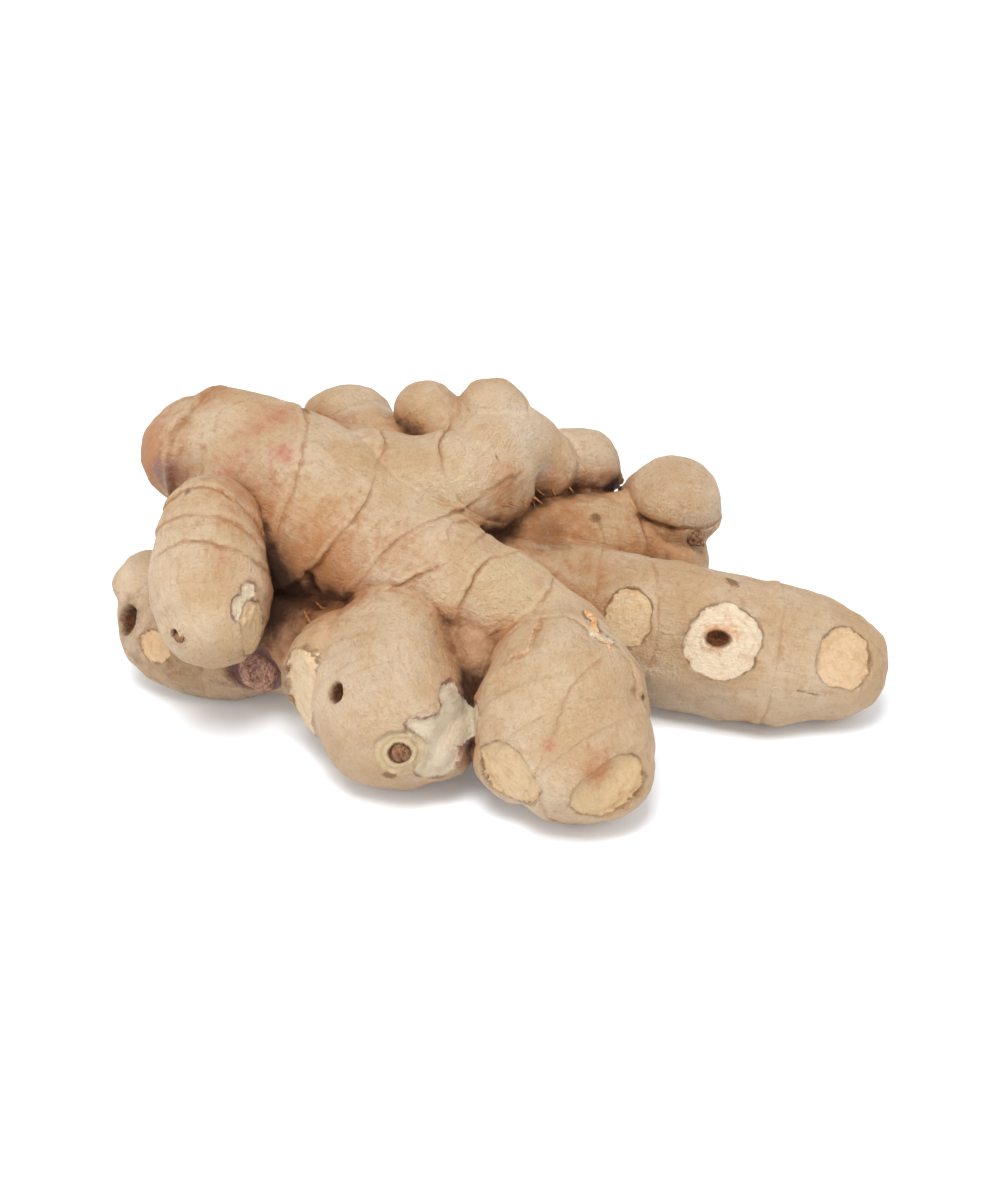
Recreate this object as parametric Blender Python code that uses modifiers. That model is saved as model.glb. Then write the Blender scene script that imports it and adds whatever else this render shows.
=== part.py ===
"""One hand of fresh ginger: a single rhizome whose thick fingers grow out of each other, lying on its lowest fingers.

Run with: blender --background --python part.py

Units are metres and +Z is up. The origin is on the surface that the rhizome lies on, under the middle of its box.
A finger is given by its centreline, from its root to its tip, in millimetres: x, y, z and the girth's radius there.
"""

import math

import bmesh
import bpy
from mathutils import Vector

MM = 0.001

# Where the middle of the resting surface lies in the coordinates that the fingers are drawn in, in millimetres.
ORIGIN = (-1.0, 1.2, 0.7)

# Each finger's centreline: (x, y, z, radius) in millimetres, root first and tip last.
FINGERS = {
    "main_axis": (
        (-74, 39, 50.5, 13.8), (-65, 37, 50.5, 16.8), (-52, 27, 46, 20.4), (-41, 16, 43, 21.2),
        (-26, 7, 39, 18.3), (-13, -2, 36, 16), (0, -9, 32, 14.5), (12, -17, 29, 13),
    ),
    "draped_finger": ((-68, 2, 50, 11.5), (-68, -5, 44, 13.2), (-67.5, -11, 37.5, 14.2), (-67, -13, 35, 13.4)),
    "left_foot": (
        (-37, -8, 22, 12.3), (-51, 5, 17, 13.5), (-66, 10, 15.4, 15.4), (-79, 12, 16.5, 14.6),
        (-83.5, 15, 21, 10.4), (-86, 18, 27, 7),
    ),
    "left_foot_bud": ((-80, 12, 20, 8.8), (-89.5, 17, 26, 5.6)),
    "front_lobe": ((-22, -8, 28, 14.2), (-26, -22.5, 22.5, 19), (-24, -30, 18.7, 18.8)),
    "front_lobe_side": ((-27, -23, 22, 14), (-36.5, -19, 22.5, 14.2)),
    "front_lobe_tip": ((-22, -31.5, 18, 13.5), (-16, -35.5, 15.5, 11.2)),
    "cut_lobe": ((12, -17, 29, 13), (14, -32, 25, 18.8), (14, -40, 21.5, 20.3), (17, -44.5, 18.2, 18.2)),
    "cut_lobe_left": ((11, -42, 19, 11.4), (4, -44, 14, 10.3)),
    "cut_lobe_right": ((17, -46, 19, 12), (23.3, -48, 14.5, 12)),
    "crotch": ((-9, -7, 30, 12.5), (-4, -21, 24, 10)),
    "long_finger": (
        (10, 17, 23, 14.7), (24, 12, 19.5, 16.3), (43, 4.5, 17.8, 17.6), (62, -1.5, 17.4, 17.3),
        (72, -3, 16.2, 16), (80, -3, 14.6, 13.6),
    ),
    "side_finger": ((5, 27, 27, 15), (20, 33, 26.5, 14.5), (33, 34, 25, 12.5), (43, 33, 23, 9)),
    "side_knob": ((40, 35, 27, 9), (42, 38.5, 33, 12.3), (42.6, 39, 35, 12.6)),
    "crown": (
        (-34, 24, 45, 17), (-20, 20, 46.5, 16), (-8, 25, 48.5, 14.5), (-1, 33, 52, 13.8), (5, 37, 50, 12),
        (10, 38, 47, 9.2),
    ),
    "crown_knob": ((-5, 37, 54, 12.2), (-2, 37.5, 60, 9.8)),
    "crown_bud": ((-12, 36, 55, 9.5), (-18, 40, 61.5, 7.3)),
    "back_knob": ((10, 41, 46, 8.4), (21, 48, 42, 9.6)),
    "back_lobe": ((-28, 35, 44, 15), (-36, 49, 47, 12.6), (-38, 52.5, 49, 12)),
    "heart": ((-37, 5, 27, 13.2), (-17, 9, 25, 14.5), (0, 15, 24, 15.1), (12, 19, 23, 14.2)),
    "rear_foot": ((-15, 20, 24, 12.3), (-17, 38, 17, 14), (-18, 44, 14.1, 14)),
}

STATION_STEP = 2.5
CAP_STEPS = 5
CAP_ANGLE = math.radians(86)
TUBE_RESOLUTION = 6
VOXEL = 1.1
BLEND_PASSES = 6
BLEND_FACTOR = 0.5
TRIANGLES = 9000

MERGE_DISTANCE = 0.01 * MM
PLANE_TOLERANCE = 0.001 * MM

SKIN_COLOUR = (0.62, 0.42, 0.25, 1.0)
SKIN_ROUGHNESS = 0.62


def clear_scene():
    for obj in list(bpy.data.objects):
        bpy.data.objects.remove(obj, do_unlink=True)


def new_collection(name):
    collection = bpy.data.collections.new(name)
    bpy.context.scene.collection.children.link(collection)
    return collection


def catmull_rom(a, b, c, d, t):
    """The value at t between b and c on the smooth curve through a, b, c and d."""
    return 0.5 * (2 * b + (c - a) * t + (2 * a - 5 * b + 4 * c - d) * t * t + (3 * b - a - 3 * c + d) * t**3)


def smooth_stations(stations):
    """Stations read from the smooth curve through the given ones, about STATION_STEP apart."""
    known = [Vector(s) for s in stations]
    padded = [2 * known[0] - known[1], *known, 2 * known[-1] - known[-2]]
    found = []
    for a, b, c, d in zip(padded, padded[1:], padded[2:], padded[3:]):
        steps = max(2, math.ceil((c.xyz - b.xyz).length / STATION_STEP))
        found += [catmull_rom(a, b, c, d, i / steps) for i in range(steps)]
    return [*found, known[-1]]


def round_end(end, before):
    """Stations that close an end with a dome as high as it is wide."""
    outward = (end.xyz - before.xyz).normalized()
    dome = []
    for i in range(1, CAP_STEPS + 1):
        angle = i / CAP_STEPS * CAP_ANGLE
        place = end.xyz + outward * end.w * math.sin(angle)
        dome.append(Vector((*place, end.w * math.cos(angle))))
    return dome


def finger_tube(name, stations):
    """A closed tube along one finger's centreline, as a curve with a bevel."""
    line = smooth_stations(stations)
    line = [*reversed(round_end(line[0], line[1])), *line, *round_end(line[-1], line[-2])]
    origin = Vector(ORIGIN)
    curve = bpy.data.curves.new(name, "CURVE")
    curve.dimensions = "3D"
    curve.bevel_depth = MM
    curve.bevel_resolution = TUBE_RESOLUTION
    curve.use_fill_caps = True
    spline = curve.splines.new("POLY")
    spline.points.add(len(line) - 1)
    for point, station in zip(spline.points, line):
        point.co = (*((station.xyz - origin) * MM), 1)
        point.radius = station.w
    return bpy.data.objects.new(name, curve)


def add_evaluated(bm, obj):
    """Adds an object's evaluated mesh to bm, in world space."""
    bpy.context.view_layer.update()
    graph = bpy.context.evaluated_depsgraph_get()
    mesh = bpy.data.meshes.new_from_object(obj.evaluated_get(graph))
    mesh.transform(obj.matrix_world)
    bm.from_mesh(mesh)
    bpy.data.meshes.remove(mesh)


def all_fingers_mesh(collection):
    """Every finger's tube in one mesh, with each tube still a closed body of its own."""
    bm = bmesh.new()
    for name, stations in FINGERS.items():
        tube = finger_tube(name, stations)
        collection.objects.link(tube)
        add_evaluated(bm, tube)
        curve = tube.data
        bpy.data.objects.remove(tube)
        bpy.data.curves.remove(curve)
    bmesh.ops.remove_doubles(bm, verts=bm.verts, dist=MERGE_DISTANCE)
    mesh = bpy.data.meshes.new("fingers")
    bm.to_mesh(mesh)
    bm.free()
    return mesh


def grow_together(obj):
    """Fuses the overlapping tubes into one skin and softens the creases where fingers leave each other."""
    remesh = obj.modifiers.new("fuse", "REMESH")
    remesh.mode = "VOXEL"
    remesh.voxel_size = VOXEL * MM
    soften = obj.modifiers.new("soften", "SMOOTH")
    soften.factor = BLEND_FACTOR
    soften.iterations = BLEND_PASSES


def thin_out(obj):
    """Reduces the skin to TRIANGLES faces, keeping more where it bends more."""
    bpy.context.view_layer.update()
    graph = bpy.context.evaluated_depsgraph_get()
    evaluated = obj.evaluated_get(graph)
    mesh = evaluated.to_mesh()
    mesh.calc_loop_triangles()
    dense = len(mesh.loop_triangles)
    evaluated.to_mesh_clear()
    decimate = obj.modifiers.new("thin_out", "DECIMATE")
    decimate.ratio = min(1.0, TRIANGLES / dense)


def rest_flat(mesh):
    """Cuts off what lies below the surface, so that the fingers that carry the rhizome meet it on small flats."""
    bm = bmesh.new()
    bm.from_mesh(mesh)
    cut = bmesh.ops.bisect_plane(
        bm, geom=[*bm.verts, *bm.edges, *bm.faces], dist=PLANE_TOLERANCE, plane_co=(0, 0, 0), plane_no=(0, 0, 1),
        clear_inner=True,
    )
    rim = [e for e in cut["geom_cut"] if isinstance(e, bmesh.types.BMEdge) and e.is_boundary]
    bmesh.ops.holes_fill(bm, edges=rim, sides=0)
    bmesh.ops.triangulate(bm, faces=[f for f in bm.faces if len(f.verts) > 4])
    bmesh.ops.recalc_face_normals(bm, faces=bm.faces)
    bm.to_mesh(mesh)
    bm.free()


def skin_material():
    material = bpy.data.materials.new("ginger_skin")
    material.use_nodes = True
    shader = material.node_tree.nodes["Principled BSDF"]
    shader.inputs["Base Color"].default_value = SKIN_COLOUR
    shader.inputs["Roughness"].default_value = SKIN_ROUGHNESS
    shader.inputs["Metallic"].default_value = 0.0
    return material


def main():
    clear_scene()
    collection = new_collection("ginger_root")
    grown = bpy.data.objects.new("grown", all_fingers_mesh(collection))
    collection.objects.link(grown)
    grow_together(grown)
    thin_out(grown)
    bpy.context.view_layer.update()
    graph = bpy.context.evaluated_depsgraph_get()
    mesh = bpy.data.meshes.new_from_object(grown.evaluated_get(graph))
    bpy.data.objects.remove(grown)
    rest_flat(mesh)
    rhizome = bpy.data.objects.new("ginger_rhizome", mesh)
    collection.objects.link(rhizome)
    mesh.shade_smooth()
    mesh.materials.append(skin_material())


main()
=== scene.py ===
"""A hand of fresh ginger: one knobbly rhizome with its scars, buds and root stubs, on a pale floor."""

import logging
import math
import random
from dataclasses import dataclass, field
from enum import Enum
from typing import Any, Sequence

import bmesh
import bpy
import numpy as np
from mathutils import Matrix, Vector, kdtree, noise
from mathutils.bvhtree import BVHTree


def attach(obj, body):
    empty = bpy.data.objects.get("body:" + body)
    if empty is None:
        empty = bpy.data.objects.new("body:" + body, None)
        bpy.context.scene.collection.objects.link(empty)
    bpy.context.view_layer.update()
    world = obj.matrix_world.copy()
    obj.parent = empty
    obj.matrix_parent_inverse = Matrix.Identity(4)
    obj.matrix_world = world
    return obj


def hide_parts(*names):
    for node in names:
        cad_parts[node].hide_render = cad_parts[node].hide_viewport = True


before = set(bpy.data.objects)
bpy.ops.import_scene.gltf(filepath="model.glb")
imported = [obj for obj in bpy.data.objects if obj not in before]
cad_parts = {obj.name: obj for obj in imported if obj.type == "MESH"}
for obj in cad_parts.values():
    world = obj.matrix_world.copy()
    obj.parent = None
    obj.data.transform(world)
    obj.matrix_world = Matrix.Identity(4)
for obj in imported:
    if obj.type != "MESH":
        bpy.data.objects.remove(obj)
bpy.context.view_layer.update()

LOG = logging.getLogger("ginger")
MM = 0.001
BODY = "root"
NODE = "ginger_rhizome"
ORIGIN = (-1.0, 1.2, 0.7)
FAR_AWAY = 1e3

Triple = tuple[float, float, float]
Station = tuple[float, float, float, float]
Colour = tuple[float, float, float, float]


def srgb(red: int, green: int, blue: int) -> Colour:
    """Turns a paint-card colour into the linear colour that a shader takes."""
    steps = [value / 255 for value in (red, green, blue)]
    linear = [s / 12.92 if s <= 0.04045 else ((s + 0.055) / 1.055) ** 2.4 for s in steps]
    return (*linear, 1.0)


def smooth_step(values: np.ndarray, low: float, high: float) -> np.ndarray:
    """Eases values from 0 at low to 1 at high; low may be the larger of the two."""
    t = np.clip((values - low) / (high - low), 0.0, 1.0)
    return t * t * (3.0 - 2.0 * t)


def bell(values: np.ndarray, width: float) -> np.ndarray:
    """A bell curve that is 1 at zero and falls away over the width."""
    return np.exp(-((values / width) ** 2))


def unit(vector: Sequence[float] | np.ndarray) -> np.ndarray:
    """The vector at length 1."""
    array = np.asarray(vector, float)
    return array / max(float(np.linalg.norm(array)), 1e-12)


def lumps(points: np.ndarray, size: float, seed: float = 0.0) -> np.ndarray:
    """Smooth noise between about -1 and 1 at each point.

    Args:
        points: Places in millimetres.
        size: Millimetres from one lump to the next.
        seed: Shifts the noise, so that two uses differ.

    Returns:
        One value a point.
    """
    scaled = points / size + seed * 17.31
    return np.fromiter((noise.noise(p) for p in scaled.tolist()), float, len(points))


def coordinates(mesh: bpy.types.Mesh) -> np.ndarray:
    """A mesh's points in metres, one a row."""
    flat = np.empty(len(mesh.vertices) * 3)
    mesh.vertices.foreach_get("co", flat)
    return flat.reshape(-1, 3)


def mesh_normals(mesh: bpy.types.Mesh) -> np.ndarray:
    """A mesh's normals, one a row."""
    flat = np.empty(len(mesh.vertices) * 3)
    mesh.vertex_normals.foreach_get("vector", flat)
    return flat.reshape(-1, 3)


def face_tree(mesh: bpy.types.Mesh) -> BVHTree:
    """A mesh's faces, ready for finding the nearest place on them or what a ray hits."""
    return BVHTree.FromPolygons([v.co for v in mesh.vertices], [p.vertices for p in mesh.polygons])


def mesh_of(name: str, bm: bmesh.types.BMesh) -> bpy.types.Mesh:
    """Turns a bmesh into a mesh, and frees the bmesh."""
    mesh = bpy.data.meshes.new(name)
    bm.to_mesh(mesh)
    bm.free()
    return mesh


def linked(name: str, data: bpy.types.ID) -> bpy.types.Object:
    """A new object in the scene for a mesh, a light or a camera."""
    obj = bpy.data.objects.new(name, data)
    bpy.context.scene.collection.objects.link(obj)
    return obj


def pushed(bm: bmesh.types.BMesh, rim: list[bmesh.types.BMEdge]
           ) -> tuple[list[bmesh.types.BMEdge], list[bmesh.types.BMVert]]:
    """Extrudes a rim of edges where it is.

    Args:
        bm: The bmesh that the rim belongs to.
        rim: The open edges to extrude.

    Returns:
        The new rim and its points, which still lie on the old ones.
    """
    moved = bmesh.ops.extrude_edge_only(bm, edges=rim)["geom"]
    return ([g for g in moved if isinstance(g, bmesh.types.BMEdge)],
            [g for g in moved if isinstance(g, bmesh.types.BMVert)])


# ----------------------------------------------------------------------------------------------- the fingers


@dataclass
class Reading:
    """How points lie about one finger, in millimetres: height above its skin, and place in its own frame."""

    depth: np.ndarray
    across: np.ndarray


@dataclass
class Finger:
    """One finger of the rhizome: a round tube of changing width along a smooth centreline, with domed ends.

    Each station is x, y, z and the radius, in millimetres.
    """

    name: str
    stations: tuple[Station, ...]
    step: float = 2.5
    dome_steps: int = 5
    dome_angle: float = math.radians(86)
    sides: int = 28
    line: np.ndarray = field(init=False)

    def __post_init__(self) -> None:
        """Works out the centreline once."""
        known = [np.array(s) - np.array((*ORIGIN, 0.0)) for s in self.stations]
        padded = [2 * known[0] - known[1], *known, 2 * known[-1] - known[-2]]
        found = []
        for a, b, c, d in zip(padded, padded[1:], padded[2:], padded[3:]):
            count = max(2, math.ceil(float(np.linalg.norm(c[:3] - b[:3])) / self.step))
            for i in range(count):
                t = i / count
                found.append(0.5 * (2 * b + (c - a) * t + (2 * a - 5 * b + 4 * c - d) * t**2
                                    + (3 * b - a - 3 * c + d) * t**3))
        self.line = np.array([*found, known[-1]])

    def dome(self, end: np.ndarray, before: np.ndarray) -> list[np.ndarray]:
        """Stations that close an end with a dome as high as it is wide."""
        outward = unit(end[:3] - before[:3])
        angles = [i / self.dome_steps * self.dome_angle for i in range(1, self.dome_steps + 1)]
        return [np.array((*(end[:3] + outward * end[3] * math.sin(a)), end[3] * math.cos(a))) for a in angles]

    def add_tube(self, bm: bmesh.types.BMesh) -> None:
        """Adds the finger to bm as one closed tube, by pushing a circle along the centreline."""
        ends = self.dome(self.line[0], self.line[1]), self.dome(self.line[-1], self.line[-2])
        line = [*reversed(ends[0]), *self.line, *ends[1]]
        places = [Vector(p[:3]) * MM for p in line]
        matrices = []
        turn = (places[1] - places[0]).to_track_quat("Z", "Y")
        for i, (place, station) in enumerate(zip(places, line)):
            ahead = (places[min(i + 1, len(places) - 1)] - places[max(i - 1, 0)]).normalized()
            turn = (turn @ Vector((0, 0, 1))).rotation_difference(ahead) @ turn
            matrices.append(Matrix.LocRotScale(place, turn, Vector((1, 1, 1)) * station[3] * MM))
        circle = bmesh.ops.create_circle(bm, segments=self.sides, radius=1, matrix=matrices[0])
        rim = list({e for v in circle["verts"] for e in v.link_edges})
        start = list(rim)
        for before, after in zip(matrices, matrices[1:]):
            rim, verts = pushed(bm, rim)
            bmesh.ops.transform(bm, matrix=after @ before.inverted(), verts=verts)
        bmesh.ops.holes_fill(bm, edges=[*start, *rim], sides=0)

    def measure(self, points: np.ndarray, reach: float = 12.0) -> Reading:
        """Measures points against the finger.

        Args:
            points: Places in millimetres, one a row.
            reach: Points further from the finger than this are only marked as far away.

        Returns:
            Height above the skin, and the place in the finger's own frame, which turns with its centreline.
        """
        count = len(points)
        depth = np.full(count, FAR_AWAY)
        across = np.zeros((count, 3))
        margin = self.line[:, 3].max() + reach
        low, high = self.line[:, :3].min(0) - margin, self.line[:, :3].max(0) + margin
        chosen = np.flatnonzero(((points > low) & (points < high)).all(1))
        near = points[chosen]
        best = depth[chosen]
        best_along = np.zeros(len(near))
        best_across = np.zeros((len(near), 3))
        travelled = 0.0
        side = unit(np.cross(self.line[1, :3] - self.line[0, :3], (0.13, 0.21, 0.97)))
        for a, b in zip(self.line, self.line[1:]):
            step = b[:3] - a[:3]
            length = float(np.linalg.norm(step))
            ahead = step / length
            side = unit(side - ahead * float(side @ ahead))
            third = np.cross(ahead, side)
            t = np.clip((near - a[:3]) @ ahead / length, 0.0, 1.0)
            offset = near - (a[:3] + t[:, None] * step)
            height = np.linalg.norm(offset, axis=1) - (a[3] + t * (b[3] - a[3]))
            better = height < best
            best[better] = height[better]
            best_along[better] = (travelled + t * length + offset @ ahead)[better]
            best_across[better] = np.stack((best_along, offset @ side, offset @ third), 1)[better]
            travelled += length
        depth[chosen], across[chosen] = best, best_across
        return Reading(depth, across)


FINGERS: tuple[Finger, ...] = (
    Finger("main_axis", ((-74, 39, 50.5, 13.8), (-65, 37, 50.5, 16.8), (-52, 27, 46, 20.4),
                         (-41, 16, 43, 21.2), (-26, 7, 39, 18.3), (-13, -2, 36, 16), (0, -9, 32, 14.5),
                         (12, -17, 29, 13))),
    Finger("draped_finger", ((-68, 2, 50, 11.5), (-68, -5, 44, 13.2), (-67.5, -11, 37.5, 14.2),
                             (-67, -13, 35, 13.4))),
    Finger("left_foot", ((-37, -8, 22, 12.3), (-51, 5, 17, 13.5), (-66, 10, 15.4, 15.4),
                         (-79, 12, 16.5, 14.6), (-83.5, 15, 21, 10.4), (-86, 18, 27, 7))),
    Finger("left_foot_bud", ((-80, 12, 20, 8.8), (-89.5, 17, 26, 5.6))),
    Finger("front_lobe", ((-22, -8, 28, 14.2), (-26, -22.5, 22.5, 19), (-24, -30, 18.7, 18.8))),
    Finger("front_lobe_side", ((-27, -23, 22, 14), (-36.5, -19, 22.5, 14.2))),
    Finger("front_lobe_tip", ((-22, -31.5, 18, 13.5), (-16, -35.5, 15.5, 11.2))),
    Finger("cut_lobe", ((12, -17, 29, 13), (14, -32, 25, 18.8), (14, -40, 21.5, 20.3),
                        (17, -44.5, 18.2, 18.2))),
    Finger("cut_lobe_left", ((11, -42, 19, 11.4), (4, -44, 14, 10.3))),
    Finger("cut_lobe_right", ((17, -46, 19, 12), (23.3, -48, 14.5, 12))),
    Finger("crotch", ((-9, -7, 30, 12.5), (-4, -21, 24, 10))),
    Finger("long_finger", ((10, 17, 23, 14.7), (24, 12, 19.5, 16.3), (43, 4.5, 17.8, 17.6),
                           (62, -1.5, 17.4, 17.3), (72, -3, 16.2, 16), (80, -3, 14.6, 13.6))),
    Finger("side_finger", ((5, 27, 27, 15), (20, 33, 26.5, 14.5), (33, 34, 25, 12.5), (43, 33, 23, 9))),
    Finger("side_knob", ((40, 35, 27, 9), (42, 38.5, 33, 12.3), (42.6, 39, 35, 12.6))),
    Finger("knob_web", ((27, 36, 36.5, 3.4), (33, 35.5, 37, 3.6))),
    Finger("crown", ((-34, 24, 45, 17), (-20, 20, 46.5, 16), (-8, 25, 48.5, 14.5), (-1, 33, 52, 13.8),
                     (5, 37, 50, 12), (10, 38, 47, 9.2))),
    Finger("crown_knob", ((-5, 37, 54, 12.2), (-2, 37.5, 60, 9.8))),
    Finger("crown_bud", ((-12, 36, 55, 9.5), (-18, 40, 61.5, 7.3))),
    Finger("back_knob", ((10, 41, 46, 8.4), (21, 48, 42, 9.6))),
    Finger("back_lobe", ((-28, 35, 44, 15), (-36, 49, 47, 12.6), (-38, 52.5, 49, 12))),
    Finger("heart", ((-37, 5, 27, 13.2), (-17, 9, 25, 14.5), (0, 15, 24, 15.1), (12, 19, 23, 14.2))),
    Finger("rear_foot", ((-15, 20, 24, 12.3), (-17, 38, 17, 14), (-18, 44, 14.1, 14))),
)


# ------------------------------------------------------------------------------------- marks on the skin


@dataclass
class Surface:
    """The rhizome's skin while it is being shaped: its points, normals and neighbours, in millimetres."""

    points: np.ndarray
    normals: np.ndarray
    edges: np.ndarray
    share: dict[str, np.ndarray] = field(default_factory=dict)
    grain: np.ndarray | None = None

    def average(self, values: np.ndarray, passes: int) -> np.ndarray:
        """Spreads values to their neighbours, once a pass."""
        first, second = self.edges[:, 0], self.edges[:, 1]
        count = len(self.points)
        degree = np.bincount(first, minlength=count) + np.bincount(second, minlength=count) + 1.0
        table = np.atleast_2d(values.T).T.astype(float)
        for _ in range(passes):
            total = table.copy()
            for column in range(table.shape[1]):
                total[:, column] += np.bincount(first, table[second, column], count)
                total[:, column] += np.bincount(second, table[first, column], count)
            table = total / degree[:, None]
        return table.reshape(values.shape)

    def hollow(self, passes: int) -> np.ndarray:
        """How far each point lies below its surroundings, in millimetres."""
        return ((self.average(self.points, passes) - self.points) * self.normals).sum(1)

    def nearest(self, place: Sequence[float]) -> int:
        """The number of the point nearest to a place."""
        return int(((self.points - np.array(place)) ** 2).sum(1).argmin())

    def facing(self, index: int, reach: float) -> np.ndarray:
        """The mean normal within reach of a point."""
        close = ((self.points - self.points[index]) ** 2).sum(1) < reach**2
        return unit(self.normals[close].mean(0))


@dataclass(frozen=True)
class Ring:
    """A ring left by a scale leaf, in the plane through three places. The skin swells up to it and steps down.

    Attributes:
        on: Fingers that carry it; its step faces the tip of the first.
        through: Three places that it passes through, in millimetres.
        lip: Height of the step.
        groove: Depth of the groove under the step.
        ink: How dark its line is, from 0 to 1.
        reach: How far from the middle place it runs.
        swelling: How far before the ring the skin starts to swell.
        step: How quickly it falls beyond.
        foot: How far beyond the ring the groove lies.
        foot_width: Half the groove's width.
    """

    on: tuple[str, ...]
    through: tuple[Triple, Triple, Triple]
    lip: float = 0.45
    groove: float = 0.35
    ink: float = 0.6
    reach: float = 46.0
    swelling: float = 2.6
    step: float = 0.4
    foot: float = 0.6
    foot_width: float = 0.55

    def offset(self, surface: Surface) -> np.ndarray:
        """Signed distance beyond the ring, in millimetres, with a little waver."""
        a, b, c = (np.array(p, float) for p in self.through)
        normal = unit(np.cross(b - a, c - a))
        line = next(f for f in FINGERS if f.name == self.on[0]).line[:, :3]
        near = min(int(((line - b) ** 2).sum(1).argmin()), len(line) - 2)
        if float(normal @ (line[near + 1] - line[near])) < 0:
            normal = -normal
        waver = 0.9 * surface.share["waver"] + 0.35 * surface.share["shiver"]
        return (surface.points - b) @ normal + waver

    def weight(self, surface: Surface) -> np.ndarray:
        """Where the ring shows, from 0 to 1."""
        held = np.max([surface.share[name] for name in self.on], axis=0)
        distance = np.linalg.norm(surface.points - np.array(self.through[1]), axis=1)
        return held * smooth_step(distance, self.reach, self.reach * 0.75)

    def profile(self, offset: np.ndarray) -> np.ndarray:
        """Height of the ring's relief at an offset."""
        swell = np.where(offset < 0, bell(offset, self.swelling), bell(offset, self.step))
        return self.lip * swell - self.groove * bell(offset - self.foot, self.foot_width)


class MarkKind(Enum):
    """What left a round mark on the skin."""

    CUT = "cut"
    EYE = "eye"
    PIT = "pit"
    CORK = "cork"


@dataclass(frozen=True)
class Mark:
    """A round or oval mark: a cut face, a bud eye, a pit or a corky scab.

    Attributes:
        kind: What left it.
        at: The place nearest to its centre, in millimetres.
        wide: Half its width, level with the floor.
        tall: Half its height.
        sink: How much further in than its own rim the face lies.
        lip: Height of the rim.
        tone: Colour of a cut face, from 0 for straw by way of 0.5 for chalk to 1 for tan.
        turn: Degrees that it is turned about its own normal.
    """

    kind: MarkKind
    at: Triple
    wide: float
    tall: float
    sink: float = 0.2
    lip: float = 0.3
    tone: float = 0.0
    turn: float = 0.0


@dataclass(frozen=True)
class Crack:
    """A split in the skin along a few places, in millimetres."""

    path: tuple[Triple, ...]
    wide: float = 0.8
    deep: float = 0.7

    def distance(self, points: np.ndarray) -> np.ndarray:
        """Distance of each point from the split."""
        best = np.full(len(points), FAR_AWAY)
        for a, b in zip(self.path, self.path[1:]):
            a, step = np.array(a, float), np.array(b, float) - np.array(a, float)
            t = np.clip((points - a) @ step / float(step @ step), 0.0, 1.0)
            best = np.minimum(best, np.linalg.norm(points - a - t[:, None] * step, axis=1))
        return best


class Tint(Enum):
    """A stain that colours the skin."""

    BLUSH = "blush"
    BRUISE = "bruise"
    RUST = "rust"
    UMBER = "umber"
    CHALK = "chalk"
    STRAW = "straw"


@dataclass(frozen=True)
class Stain:
    """A soft patch of a tint about a place, in millimetres."""

    tint: Tint
    at: Triple
    size: float
    strength: float = 1.0


@dataclass(frozen=True)
class Peel:
    """A patch where the papery skin is rubbed off, covering balls about a few places, in millimetres."""

    balls: tuple[Station, ...]
    step: float = 0.45

    def edge(self, points: np.ndarray) -> np.ndarray:
        """Signed distance from the patch's edge, negative inside."""
        return np.min([np.linalg.norm(points - np.array(b[:3]), axis=1) - b[3] for b in self.balls], axis=0)


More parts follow.
